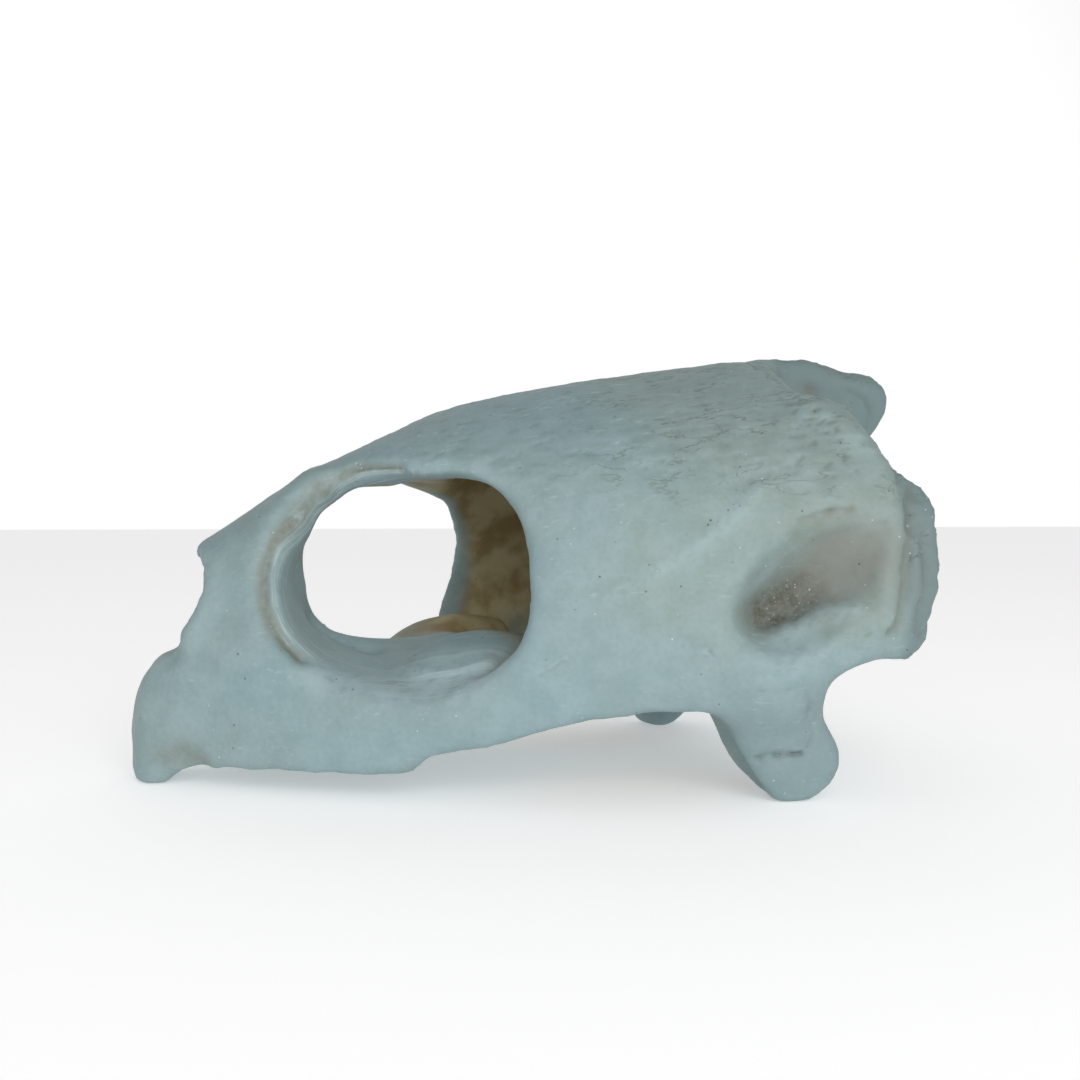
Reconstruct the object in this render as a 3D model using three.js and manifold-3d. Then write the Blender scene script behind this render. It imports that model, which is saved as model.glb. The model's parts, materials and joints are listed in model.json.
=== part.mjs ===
// Sea turtle skull without its lower jaw, at life size.
// Millimetres, +Z up, snout towards -X, midline on Y = 0. It rests on Z = 0 on the beak tip and on the
// two jaw joints. The whole skull is one smooth distance field, which is turned into a closed surface,
// thinned out, and parted along its sutures into the bones that an anatomist would name.
import * as THREE from 'three';
import { MarchingCubes } from 'three/addons/objects/MarchingCubes.js';
import { mergeVertices } from 'three/addons/utils/BufferGeometryUtils.js';
import Module from 'manifold-3d';

const { clamp, lerp, smoothstep } = THREE.MathUtils;
const wasm = await Module();
wasm.setup();

// Driving sizes
const SUTURE_GAP = 0.3;
const ROOF_WALL = 5.6;
const CHEEK_WALL = 4.8;
const FIELD_STEP = 2.2;
const FIELD_CENTRE = [0, 0, 40];
const FIELD_SPAN = 164;
const LEAST_DISTANCE = 0.06;
const MOST_TRIANGLES = 100000;
const SKULL_TRIANGLES = 5200;
const BONE_COLOUR = 0x97a9a8;
const FILLET = { fine: 2.4, small: 3, medium: 4, large: 5, wide: 6, temple: 8 };

// Lengthwise curves, as [x, value]: the crown of the roof, half the width, the level of greatest width
const ROOF_TOP = [[-76, 33.4], [-62.5, 43.8], [-53.5, 50.2], [-45, 55.5], [-36.5, 60.3], [-28.5, 64.2],
  [-17, 69.3], [-8, 71.7], [16, 75.9], [40, 79.3], [52, 80.7], [66, 80.5]];
const HALF_WIDTH = [[-76, 0.2], [-75.3, 3.4], [-73.8, 6.4], [-70, 9.8], [-62, 14.2], [-50, 21.5], [-40, 27],
  [-30, 31.5], [-20, 35.3], [-8, 39.2], [5, 42.6], [20, 45.8], [35, 48], [46, 48.4], [56, 46.4], [66, 42]];
const WIDEST_LEVEL = [[-75, 10], [-50, 14], [-20, 20], [10, 26], [40, 33], [66, 38]];
const ARCH_POWER = 2.25;
const LOWER_TUCK = 0.1;
const BEAK_CURL = 0.016;

// Where one shape passes over into the next, along X or Z
const CHEEK_TO_ROOF = [45, 68];
const BEAK_TO_SNOUT = [-69, -53];
const SOFT_TO_SHARP_RIM = [-42, -14];

// Eye sockets: an outline that narrows towards the midline, so that the front and floor walls slope in
const ORBIT = { x: -28.8, z: 37.7, halfLength: 21.3, halfHeight: 18.2 };
const ORBIT_WAIST = { x: -25.2, z: 40.6, halfLength: 18.8, halfHeight: 15.2, rimOffset: 26, widest: 1.25 };
const ORBIT_POWER = { front: 2.5, upperRear: 3.7, lowerRear: 2.3 };

// Hollow behind the eyes that the jaw muscles filled, open below and behind
const TEMPLE_FRONT = -13;

// Nose, palate and ear hollows, as centre, radii and turn about the Y axis
const NOSTRIL = { centre: [-63, 0, 33.4], radii: [13.5, 9.4, 8.4] };
const CHOANA = { centre: [-16, 6.6, 10.5], radii: [9, 4, 7.5] };
const EAR_BOWL = { centre: [39.6, 52.5, 37.6], radii: [16.5, 12.5, 9.6], turn: 0.62 };
const EAR_PIT = { centre: [35.6, 44.5, 33.6], radii: [7.6, 6.6, 4.2], turn: 0.5 };
const PALATE_VAULT = { front: -68, full: -46, low: -6, high: 13, edge: 5.5, steepness: 1.8 };

// Brain case and what hangs on it
const BRAIN_CASE = { centre: [30, 0, 41], radii: [29, 13.5, 15] };
const OCCIPUT = { centre: [50, 0, 40], radii: [12, 15, 13] };
const SPINE_HOLE = { centre: [60, 0, 42.5], radii: [17, 5.6, 6.4] };
const NECK_KNOB = { from: [50, 0, 33], to: [60.5, 0, 31.5], radii: [7, 5.2] };
const EAR_BRACE = { from: [48, 8, 43], to: [54, 37, 41], radii: [8.5, 7.4] };
const QUADRATE_BRACE = { from: [40, 8, 37], to: [44, 36, 33], radii: [11, 9.5] };
const MIDDLE_WALL = { front: 3, back: 46, floor: 18, inRoof: 3, flareDepth: 17, halfWidth: 8, flare: 7 };
const CREST = { halfWidth: 2.6, endSwell: 1.6, swellFrom: 56, swellTo: 72 };

// Palate and wing bones under the brain case, as [x, half width] and [x, middle height]
const PALATE_WIDTH = [[-20, 33], [-8, 27], [4, 18], [15, 13.5], [26, 15], [36, 24], [44, 31], [52, 22],
  [60, 9]];
const PALATE_LEVEL = [[-20, 20], [0, 18.5], [20, 16.5], [44, 18], [60, 24]];
const PALATE = { front: -16, back: 58, halfThickness: 3.6, sag: 0.004 };
const SOCKET_FLOOR = { centre: [-12, 19, 22.5], radii: [14, 9, 6] };

// Jaw joint
const JAW_JOINT = { y: 39, neckHalf: 7, knobHalf: 9, neckHeight: 13, knobHeight: 4, topFlare: 6,
  flareHeight: 12, tilt: 0.2 };

// Side outlines in X and Z
const SIDE_OUTLINE = smoothOutline([
  [[-63.5, 3.4], [-67, 0.6], [-70.6, -2], [-73.6, -1.6], [-76, 1.8], [-76.6, 7.6], [-75.6, 14.8],
    [-72.4, 21.6], [-67.6, 24.8], [-65, 28], [-62.2, 33.6], [-61.9, 38], [-65.2, 41.2]],
  [[-65.4, 44.6], [-65.4, 100], [47, 100], [48.5, 84]],
  [[50, 78], [51, 71], [53.8, 64.5], [56.6, 59], [58.2, 55.8]],
  [[62.4, 54.8], [64, 48], [65, 41.6], [65, 36], [64, 30], [61.4, 25.4], [57, 24.2], [52.6, 25], [47, 23.6],
    [39, 18], [30, 15.8]],
  [[20.6, 15.6], [10.7, 15.6], [3, 14.9], [-6.8, 12.2], [-16.6, 9.2], [-23.4, 7.6]],
  [[-26, 5], [-36, 4.6], [-53, 4]],
]);
const QUADRATE_OUTLINE = smoothOutline([
  [[24.6, 30], [23.6, 17], [25.4, 10.4], [28.6, 3.6], [33.2, -1], [38, -2.8], [42.8, -0.8], [46.6, 4.2],
    [46.4, 9.6], [44, 14], [42.8, 18.6], [46, 23.2], [53, 25], [58, 28], [58, 44], [47, 51], [33, 46]],
]);
const CREST_OUTLINE = smoothOutline([
  [[38, 77], [52, 80.6], [57.4, 79.6], [63.8, 77.8], [70, 76.6], [73.8, 74.6], [75.2, 71.6], [74.6, 68.4],
    [71, 64.4], [64, 57], [56, 51], [46, 48], [38, 60]],
]);

// Sutures: seen from the side a line is in [x, z] and reaches over y, seen from above it is in [x, y] and
// reaches over z. A paired suture is on both sides of the midline.
const SNOUT_SUTURES = [
  { seen: 'side', line: [[-67.5, 31], [-65.5, 15], [-63.8, -4]], reach: [-30, 30] },
  { seen: 'side', line: [[-70, 34], [-38, 34]], reach: [-40, 40] },
  { seen: 'above', line: [[-68, 4.6], [-50, 9], [-30, 14], [-14, 27], [-5, 34]], reach: [-4, 34.1],
    paired: true },
];
const ROOF_SUTURES = [
  { seen: 'above', line: [[-38, -28], [-31, 0], [-38, 28]], reach: [44, 90] },
  { seen: 'above', line: [[-7, -17.4], [-5, 0], [-7, 17.4]], reach: [50, 90] },
  { seen: 'above', line: [[-17, 35], [-7, 17.2], [10, 20], [28, 27], [45, 33], [66, 39.5]], reach: [46, 90],
    paired: true },
  { seen: 'above', line: [[-75, 0], [-4.8, 0]], reach: [34, 90] },
  { seen: 'above', line: [[-5, 0], [47.5, 0]], reach: [64, 95] },
];
const CHEEK_SUTURES = [
  { seen: 'side', line: [[-23, 30], [-23, 0]], reach: [19.6, 50], paired: true },
  { seen: 'side', line: [[-12, 33], [8, 38]], reach: [25, 60], paired: true },
  { seen: 'side', line: [[8, 38], [10.5, 8]], reach: [25, 60], paired: true },
  { seen: 'side', line: [[8, 38], [24, 45], [28, 62], [28, 90]], reach: [27, 60], paired: true },
  { seen: 'side', line: [[24, 45], [33, 45]], reach: [25, 60], paired: true },
];
const EAR_SUTURES = [
  { seen: 'side', line: [[22, 2], [24, 22], [26.5, 34], [33, 45], [42, 51], [51, 50], [56, 42], [56, 32],
    [52, 16]], reach: [24.9, 60], paired: true },
  { seen: 'above', line: [[14, 25], [52, 25], [58, 31], [75, 31]], reach: [-5, 60], paired: true },
];
const CORE_SUTURES = [
  { seen: 'side', line: [[-1, 10], [-1, 30]], reach: [-27, 27] },
  { seen: 'side', line: [[-3, 23.2], [70, 23.2]], reach: [-25, 25] },
  { seen: 'side', line: [[-4, 64], [47.5, 64], [47.5, 58], [68, 50]], reach: [-22, 22] },
  { seen: 'above', line: [[66, 6.5], [47.5, 6.5], [47.5, -6.5], [66, -6.5]], reach: [64, 95] },
];
const SUTURES = [SNOUT_SUTURES, ROOF_SUTURES, CHEEK_SUTURES, EAR_SUTURES, CORE_SUTURES].flat();

// A point on the outside of each bone: [x, z] on the midline, or [x, y, z] on both sides
const MIDDLE_BONES = {
  premaxilla: [-75, 10],
  palate: [-45, 13],
  pterygoid: [15, 14],
  braincase: [60, 31],
  supraoccipital_crest: [75, 72],
};
const PAIRED_BONES = {
  maxilla: [-45, 24, 12],
  prefrontal: [-50, 8, 51],
  frontal: [-22, 8, 67],
  parietal: [25, 10, 77],
  postorbital: [10, 36, 58],
  jugal: [-8, 39, 22],
  quadratojugal: [16, 45, 27],
  squamosal: [50, 43, 59],
  quadrate: [37, 41, 0],
};

// Closed outline through runs of points: smooth inside a run, cornered between runs
function smoothOutline(runs) {
  const path = runs.flatMap((run) => {
    const corners = run.map(([u, v]) => new THREE.Vector2(u, v));
    return new THREE.SplineCurve(corners).getPoints(run.length * 3);
  });
  return (u, v) => {
    let nearest = Infinity;
    let inside = false;
    for (let i = 0, j = path.length - 1; i < path.length; j = i, i += 1) {
      const a = path[i];
      const b = path[j];
      const along = clamp(((u - a.x) * (b.x - a.x) + (v - a.y) * (b.y - a.y)) / a.distanceToSquared(b), 0, 1);
      const gapU = u - lerp(a.x, b.x, along);
      const gapV = v - lerp(a.y, b.y, along);
      nearest = Math.min(nearest, gapU * gapU + gapV * gapV);
      if ((a.y > v) !== (b.y > v) && u < a.x + ((b.x - a.x) * (v - a.y)) / (b.y - a.y)) inside = !inside;
    }
    return Math.sqrt(nearest) * (inside ? -1 : 1);
  };
}

function lengthwise(knots) {
  const curve = new THREE.CubicInterpolant(knots.map((k) => k[0]), knots.map((k) => k[1]), 1);
  return (x) => curve.evaluate(x)[0];
}
const roofTop = lengthwise(ROOF_TOP);
const halfWidth = lengthwise(HALF_WIDTH);
const widestLevel = lengthwise(WIDEST_LEVEL);
const palateWidth = lengthwise(PALATE_WIDTH);
const palateLevel = lengthwise(PALATE_LEVEL);

// Joins and cuts of distances that leave a fillet of about the given radius
function join(a, b, fillet) {
  const blend = Math.max(fillet - Math.abs(a - b), 0) / fillet;
  return Math.min(a, b) - (blend * blend * fillet) / 4;
}
function within(a, b, fillet) {
  return -join(-a, -b, fillet);
}
function without(a, b, fillet) {
  return -join(-a, b, fillet);
}

// Distance to an ellipsoid, mirrored on the midline by giving y as its size without a sign
function ellipsoid(x, y, z, { centre, radii, turn = 0 }) {
  const dx = x - centre[0];
  const dz = z - centre[2];
  const u = (dx * Math.cos(turn) + dz * Math.sin(turn)) / radii[0];
  const v = (y - centre[1]) / radii[1];
  const w = (dz * Math.cos(turn) - dx * Math.sin(turn)) / radii[2];
  const reach = Math.hypot(u, v, w);
  return (reach * (reach - 1)) / (Math.hypot(u / radii[0], v / radii[1], w / radii[2]) + 1e-9);
}

function taperedRod(x, y, z, { from, to, radii }) {
  const [ax, ay, az] = to.map((end, i) => end - from[i]);
  const [px, py, pz] = [x - from[0], y - from[1], z - from[2]];
  const along = clamp((px * ax + py * ay + pz * az) / (ax * ax + ay * ay + az * az), 0, 1);
  return Math.hypot(px - ax * along, py - ay * along, pz - az * along) - lerp(radii[0], radii[1], along);
}

// Outer skin of roof and cheeks: a rounded arch above the level of greatest width, upright walls below it
function outerSkin(x, y, z) {
  const width = halfWidth(x);
  const level = widestLevel(x);
  if (z <= level) return y - width * (1 - LOWER_TUCK * ((level - z) / level) ** 2);
  const across = y / width;
  const up = (z - level) / (roofTop(x) - level);
  const reach = (across ** ARCH_POWER + up ** ARCH_POWER) ** (1 / ARCH_POWER);
  return Math.hypot(y, z - level) * (1 - 1 / Math.max(reach, 1e-6));
}

function eyeSocket(x, y, z) {
  const out = clamp(y / ORBIT_WAIST.rimOffset, 0, ORBIT_WAIST.widest);
  const u = (x - lerp(ORBIT_WAIST.x, ORBIT.x, out)) / lerp(ORBIT_WAIST.halfLength, ORBIT.halfLength, out);
  const w = (z - lerp(ORBIT_WAIST.z, ORBIT.z, out)) / lerp(ORBIT_WAIST.halfHeight, ORBIT.halfHeight, out);
  const rearPower = w > 0 ? ORBIT_POWER.upperRear : ORBIT_POWER.lowerRear;
  const power = u > 0 ? rearPower : ORBIT_POWER.front;
  const reach = (Math.abs(u) ** power + Math.abs(w) ** power) ** (1 / power);
  return Math.hypot(u * ORBIT.halfLength, w * ORBIT.halfHeight) * (1 - 1 / Math.max(reach, 1e-6));
}

function helmet(x, y, z) {
  const skin = outerSkin(x, y, z);
  const wall = lerp(CHEEK_WALL, ROOF_WALL, smoothstep(z, ...CHEEK_TO_ROOF));
  const temple = within(skin + wall, TEMPLE_FRONT - x, FILLET.temple);
  const hollow = join(temple, eyeSocket(x, y, z), FILLET.large);
  const rimFillet = lerp(FILLET.wide, FILLET.fine, smoothstep(x, ...SOFT_TO_SHARP_RIM));
  const shell = without(skin, hollow, rimFillet);
  const behindBeak = smoothstep(x, ...BEAK_TO_SNOUT);
  const curl = BEAK_CURL * y * y * (1 - behindBeak);
  return within(shell, SIDE_OUTLINE(x, z - curl), lerp(FILLET.large, FILLET.fine, behindBeak));
}

// Arched hollow of the mouth between the cutting edges of the upper jaw
function palateVault(x, y, z) {
  const inner = halfWidth(x) - PALATE_VAULT.edge;
  const share = smoothstep(x, PALATE_VAULT.front, PALATE_VAULT.full) * (1 - (y / inner) ** 4);
  return (z - lerp(PALATE_VAULT.low, PALATE_VAULT.high, share)) / PALATE_VAULT.steepness;
}

function palate(x, y, z) {
  const level = palateLevel(x) - PALATE.sag * y * y;
  const plate = within(Math.abs(z - level) - PALATE.halfThickness, y - palateWidth(x), FILLET.medium);
  return within(plate, Math.max(PALATE.front - x, x - PALATE.back), FILLET.small);
}

function middleWall(x, y, z) {
  const underRoof = roofTop(x) - z;
  const flare = 1 - smoothstep(underRoof, MIDDLE_WALL.inRoof, MIDDLE_WALL.flareDepth);
  const sides = y - MIDDLE_WALL.halfWidth - MIDDLE_WALL.flare * flare;
  const ends = Math.max(MIDDLE_WALL.front - x, x - MIDDLE_WALL.back);
  const levels = Math.max(MIDDLE_WALL.inRoof - underRoof, MIDDLE_WALL.floor - z);
  return within(within(sides, ends, FILLET.large), levels, FILLET.fine);
}

function crest(x, y, z) {
  const half = CREST.halfWidth + CREST.endSwell * smoothstep(x, CREST.swellFrom, CREST.swellTo);
  return within(CREST_OUTLINE(x, z), y - half, FILLET.fine);
}

function jawJoint(x, y, z) {
  const { neckHeight, flareHeight } = JAW_JOINT;
  const low = 1 - smoothstep(z, JAW_JOINT.knobHeight, neckHeight);
  const high = smoothstep(z, neckHeight, neckHeight + flareHeight);
  const half = lerp(JAW_JOINT.neckHalf, JAW_JOINT.knobHalf, low) + JAW_JOINT.topFlare * high;
  const lift = JAW_JOINT.tilt * low * (JAW_JOINT.y + JAW_JOINT.knobHalf - y);
  const block = within(QUADRATE_OUTLINE(x, z - lift), Math.abs(y - JAW_JOINT.y) - half, FILLET.wide);
  return within(block, outerSkin(x, y, z), FILLET.small);
}

// Whole skull, negative inside the bone
function skullField(x, signedY, z) {
  const y = Math.abs(signedY);
  let bone = helmet(x, y, z);
  bone = without(bone, palateVault(x, y, z), FILLET.small);
  bone = join(bone, palate(x, y, z), FILLET.medium);
  bone = join(bone, ellipsoid(x, y, z, SOCKET_FLOOR), FILLET.medium);
  bone = without(bone, ellipsoid(x, y, z, CHOANA), FILLET.fine);
  bone = without(bone, ellipsoid(x, y, z, NOSTRIL), FILLET.fine);
  let core = join(ellipsoid(x, y, z, BRAIN_CASE), ellipsoid(x, y, z, OCCIPUT), FILLET.wide);
  core = join(core, middleWall(x, y, z), FILLET.wide);
  core = join(core, taperedRod(x, y, z, NECK_KNOB), FILLET.small);
  core = join(core, taperedRod(x, y, z, EAR_BRACE), FILLET.large);
  core = join(core, taperedRod(x, y, z, QUADRATE_BRACE), FILLET.wide);
  core = join(core, crest(x, y, z), FILLET.medium);
  core = without(core, ellipsoid(x, y, z, SPINE_HOLE), FILLET.fine);
  bone = join(bone, core, FILLET.large);
  bone = join(bone, jawJoint(x, y, z), FILLET.large);
  bone = without(bone, ellipsoid(x, y, z, EAR_BOWL), FILLET.large);
  return without(bone, ellipsoid(x, y, z, EAR_PIT), FILLET.small);
}

// Closed surface of a distance field, inside a cube around the given centre. A sample is kept a little off
// the surface, so that no two corners fall together.
function surfaceOf(field, centre, span) {
  const size = Math.ceil(span / FIELD_STEP);
  const cubes = new MarchingCubes(size, undefined, false, false, MOST_TRIANGLES);
  const place = (index, axis) => (index - size / 2) * FIELD_STEP + centre[axis];
  for (let k = 0, cell = 0; k < size; k += 1) {
    for (let j = 0; j < size; j += 1) {
      for (let i = 0; i < size; i += 1, cell += 1) {
        const depth = -field(place(i, 0), place(j, 1), place(k, 2));
        cubes.field[cell] = depth < 0 ? Math.min(depth, -LEAST_DISTANCE) : Math.max(depth, LEAST_DISTANCE);
      }
    }
  }
  cubes.isolation = 0;
  cubes.update();
  const geometry = new THREE.BufferGeometry();
  const corners = cubes.positionArray.slice(0, cubes.count * 3);
  geometry.setAttribute('position', new THREE.BufferAttribute(corners, 3));
  geometry.scale((size * FIELD_STEP) / 2, (size * FIELD_STEP) / 2, (size * FIELD_STEP) / 2);
  geometry.translate(...centre);
  return mergeVertices(geometry, 1e-3);
}

// Thins a closed surface by folding edges into points, the flattest places first. Each point carries the sum
// of the planes around it, and a fold lands where it keeps nearest to those planes.
function thinOut(geometry, wantedFaces) {
  const { position } = geometry.attributes;
  const points = [];
  for (let i = 0; i < position.count; i += 1) {
    points.push(new THREE.Vector3().fromBufferAttribute(position, i));
  }
  const planeSums = points.map(() => new Float64Array(10));
  const facesAt = points.map(() => new Set());
  const faces = new Set();
  for (let i = 0; i < geometry.index.count; i += 3) {
    const face = Array.from(geometry.index.array.slice(i, i + 3));
    const [a, b, c] = face.map((corner) => points[corner]);
    const normal = b.clone().sub(a).cross(c.clone().sub(a));
    const area = normal.length();
    normal.normalize();
    const plane = [normal.x, normal.y, normal.z, -normal.dot(a)];
    faces.add(face);
    for (const corner of face) {
      facesAt[corner].add(face);
      for (let row = 0, slot = 0; row < 4; row += 1) {
        for (let column = row; column < 4; column += 1, slot += 1) {
          planeSums[corner][slot] += area * plane[row] * plane[column];
        }
      }
    }
  }

  const neighbours = (point) => new Set([...facesAt[point]].flat().filter((corner) => corner !== point));

  function bestPoint(a, b) {
    const q = planeSums[a].map((value, i) => value + planeSums[b][i]);
    const middle = points[a].clone().lerp(points[b], 0.5);
    const curvature = new THREE.Matrix3(q[0], q[1], q[2], q[1], q[4], q[5], q[2], q[5], q[7]);
    const best = new THREE.Vector3(-q[3], -q[6], -q[8]).applyMatrix3(curvature.invert());
    const target = best.distanceTo(middle) < points[a].distanceTo(points[b]) ? best : middle;
    const { x, y, z } = target;
    const error = x * (q[0] * x + 2 * (q[1] * y + q[2] * z + q[3])) + y * (q[4] * y + 2 * (q[5] * z + q[6]))
      + z * (q[7] * z + 2 * q[8]) + q[9];
    return { target, error };
  }

  function turnsOver(moved, other, target) {
    return [...facesAt[moved]].filter((face) => !face.includes(other)).some((face) => {
      const before = new THREE.Triangle(...face.map((corner) => points[corner]));
      const after = new THREE.Triangle(...face.map((corner) => (corner === moved ? target : points[corner])));
      const turn = before.getNormal(new THREE.Vector3()).dot(after.getNormal(new THREE.Vector3()));
      return turn < 0.5 || after.getArea() < 0.02 * FIELD_STEP ** 2;
    });
  }

  function fold(a, b, errorLimit) {
    const { target, error } = bestPoint(a, b);
    if (error > errorLimit) return false;
    const shared = neighbours(b);
    if ([...neighbours(a)].filter((point) => shared.has(point)).length !== 2) return false;
    if (turnsOver(a, b, target) || turnsOver(b, a, target)) return false;
    for (const face of [...facesAt[b]]) {
      if (face.includes(a)) {
        faces.delete(face);
        face.forEach((corner) => facesAt[corner].delete(face));
      } else {
        face[face.indexOf(b)] = a;
        facesAt[a].add(face);
      }
    }
    planeSums[b].forEach((value, i) => { planeSums[a][i] += value; });
    points[a].copy(target);
    return true;
  }

  for (let errorLimit = 1e-3; faces.size > wantedFaces; errorLimit *= 1.5) {
    for (const face of [...faces]) {
      if (faces.size <= wantedFaces) break;
      if (!faces.has(face)) continue;
      const [a, b, c] = face;
      if (!fold(a, b, errorLimit) && !fold(b, c, errorLimit)) fold(c, a, errorLimit);
    }
  }
  const thinned = new THREE.BufferGeometry().setFromPoints([...faces].flat().map((corner) => points[corner]));
  return mergeVertices(thinned, 1e-5);
}

function solidOf(geometry) {
  geometry.deleteAttribute('normal');
  geometry.deleteAttribute('uv');
  const { attributes, index } = mergeVertices(geometry, 1e-4);
  const mesh = { numProp: 3, vertProperties: attributes.position.array, triVerts: index.array };
  return new wasm.Manifold(new wasm.Mesh(mesh));
}

// Thin wall along a line, from the low to the high end of its reach
function sutureWall({ line, reach, seen }, mirrored) {
  const side = mirrored ? -1 : 1;
  const path = line.map(([u, v]) => new THREE.Vector2(u, seen === 'above' ? v * side : v));
  const offsets = path.map((point, i) => {
    const back = point.clone().sub(path[i - 1] ?? point).normalize();
    const ahead = (path[i + 1] ?? point).clone().sub(point).normalize();
    const along = back.clone().add(ahead).normalize();
    const stretch = 1 / Math.max(along.dot(back), along.dot(ahead));
    return new THREE.Vector2(-along.y, along.x).multiplyScalar((stretch * SUTURE_GAP) / 2);
  });
  const left = path.map((point, i) => point.clone().add(offsets[i]));
  const right = path.map((point, i) => point.clone().sub(offsets[i]));
  const [low, high] = mirrored && seen === 'side' ? [-reach[1], -reach[0]] : reach;
  const section = new THREE.Shape([...left, ...right.reverse()]);
  const wall = new THREE.ExtrudeGeometry(section, { depth: high - low, bevelEnabled: false });
  wall.translate(0, 0, low);
  if (seen === 'side') wall.rotateX(Math.PI / 2);
  return solidOf(wall);
}

// The skull is cut level where it rests, then parted
const surface = thinOut(surfaceOf(skullField, FIELD_CENTRE, FIELD_SPAN), SKULL_TRIANGLES);
const floor = new THREE.BoxGeometry(400, 400, 40).translate(0, 0, -20);
let solid = solidOf(surface).subtract(solidOf(floor));
for (const suture of SUTURES) {
  solid = solid.subtract(sutureWall(suture, false));
  if (suture.paired) solid = solid.subtract(sutureWall(suture, true));
}
const pieces = solid.decompose().map((piece) => {
  const { vertProperties, triVerts } = piece.getMesh();
  const geometry = new THREE.BufferGeometry();
  geometry.setAttribute('position', new THREE.BufferAttribute(vertProperties, 3));
  geometry.setIndex(new THREE.BufferAttribute(triVerts, 1));
  return geometry;
});

function gapTo(geometry, seed) {
  const { position } = geometry.attributes;
  const corner = new THREE.Vector3();
  let least = Infinity;
  for (let i = 0; i < position.count; i += 1) {
    least = Math.min(least, corner.fromBufferAttribute(position, i).distanceTo(seed));
  }
  return least;
}

// Each bone is the piece that its seed lies on
const skull = new THREE.Group();
function addBone(name, x, y, z) {
  const seed = new THREE.Vector3(x, y, z);
  const gaps = pieces.map((piece) => gapTo(piece, seed));
  const piece = pieces[gaps.indexOf(Math.min(...gaps))];
  const bone = new THREE.Mesh(piece, new THREE.MeshStandardMaterial({ color: BONE_COLOUR, roughness: 0.7 }));
  bone.name = name;
  skull.add(bone);
}
for (const [name, [x, z]] of Object.entries(MIDDLE_BONES)) addBone(name, x, 0, z);
for (const [name, [x, y, z]] of Object.entries(PAIRED_BONES)) {
  addBone(`${name}_left`, x, -y, z);
  addBone(`${name}_right`, x, y, z);
}
skull.position.x = -new THREE.Box3().setFromObject(skull).getCenter(new THREE.Vector3()).x;
export default skull;
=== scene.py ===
import json
import math

import bpy
import numpy as np
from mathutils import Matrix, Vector, noise
from mathutils.bvhtree import BVHTree

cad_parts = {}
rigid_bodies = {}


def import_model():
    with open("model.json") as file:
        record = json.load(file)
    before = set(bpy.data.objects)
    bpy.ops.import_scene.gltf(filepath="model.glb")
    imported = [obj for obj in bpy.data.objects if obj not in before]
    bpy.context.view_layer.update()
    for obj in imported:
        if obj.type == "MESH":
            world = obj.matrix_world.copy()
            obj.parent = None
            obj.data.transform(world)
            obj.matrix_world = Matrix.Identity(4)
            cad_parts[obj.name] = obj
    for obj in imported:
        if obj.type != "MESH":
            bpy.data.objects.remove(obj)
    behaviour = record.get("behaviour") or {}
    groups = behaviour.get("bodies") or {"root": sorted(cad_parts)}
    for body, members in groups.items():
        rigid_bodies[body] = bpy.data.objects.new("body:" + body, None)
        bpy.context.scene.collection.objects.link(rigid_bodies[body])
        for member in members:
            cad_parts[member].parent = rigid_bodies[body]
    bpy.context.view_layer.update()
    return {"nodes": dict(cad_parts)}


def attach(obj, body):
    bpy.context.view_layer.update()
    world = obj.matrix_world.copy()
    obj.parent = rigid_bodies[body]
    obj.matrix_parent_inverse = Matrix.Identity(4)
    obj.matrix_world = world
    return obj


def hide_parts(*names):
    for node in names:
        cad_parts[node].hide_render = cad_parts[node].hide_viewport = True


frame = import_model()

# The cranium: in life its bones knit together along sutures that close with age, so copies
# of the frame's bones are swollen until they touch, skinned over as one surface, drawn back
# to size and worn smooth, as a cleaned and weathered skull is.
MM = 0.001
LEFT = -1
RIGHT = 1
MERGE_DISTANCE = 0.01 * MM
SUTURE_SWELL = 0.3 * MM
SKIN_VOXEL = 0.93 * MM
WEAR_SHARE = 0.5
FIRST_WEAR = 7
BROAD_WEAR = 40
SHELTER_RAYS = 12
SHELTER_LOWEST = 0.12
SHELTER_RISE = 0.86
SHELTER_START = 1.6 * MM
SHELTER_REACH = 60 * MM
LEAST_WEIGHT = 0.005
SHORTEST_WAY = 0.001
bpy.ops.object.select_all(action="DESELECT")
bones = list(frame["nodes"].values())
for node in bones:
    node.select_set(True)
bpy.context.view_layer.objects.active = bones[0]
bpy.ops.object.duplicate()
bpy.ops.object.join()
bpy.ops.object.parent_clear(type="CLEAR_KEEP_TRANSFORM")
skull = bpy.context.object
skull.name = "skull"
skull.data.name = "skull"
skull.data.materials.clear()
for key in list(skull.keys()):
    del skull[key]
bpy.ops.object.mode_set(mode="EDIT")
bpy.ops.mesh.select_all(action="SELECT")
bpy.ops.mesh.remove_doubles(threshold=MERGE_DISTANCE)
bpy.ops.object.mode_set(mode="OBJECT")
bone_tree = BVHTree.FromObject(skull, bpy.context.evaluated_depsgraph_get())


def apply_modifier(kind, **settings):
    """Adds a modifier to the skull with these settings and applies it."""
    bpy.ops.object.modifier_add(type=kind)
    modifier = skull.modifiers[-1]
    for name, value in settings.items():
        setattr(modifier, name, value)
    bpy.ops.object.modifier_apply(modifier=modifier.name)


apply_modifier("DISPLACE", strength=SUTURE_SWELL, mid_level=0)
apply_modifier("REMESH", mode="VOXEL", voxel_size=SKIN_VOXEL)
apply_modifier("DISPLACE", strength=-SUTURE_SWELL, mid_level=0)
apply_modifier("SMOOTH", factor=WEAR_SHARE, iterations=FIRST_WEAR)


def skin_points():
    """The skull's points, one row each, in millimetres."""
    values = np.empty(len(skull.data.vertices) * 3)
    skull.data.vertices.foreach_get("co", values)
    return values.reshape(-1, 3) / MM


def skin_normals():
    """The skull's outward directions, one row for each point."""
    values = np.empty(len(skull.data.vertices) * 3)
    skull.data.vertex_normals.foreach_get("vector", values)
    return values.reshape(-1, 3)


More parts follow.
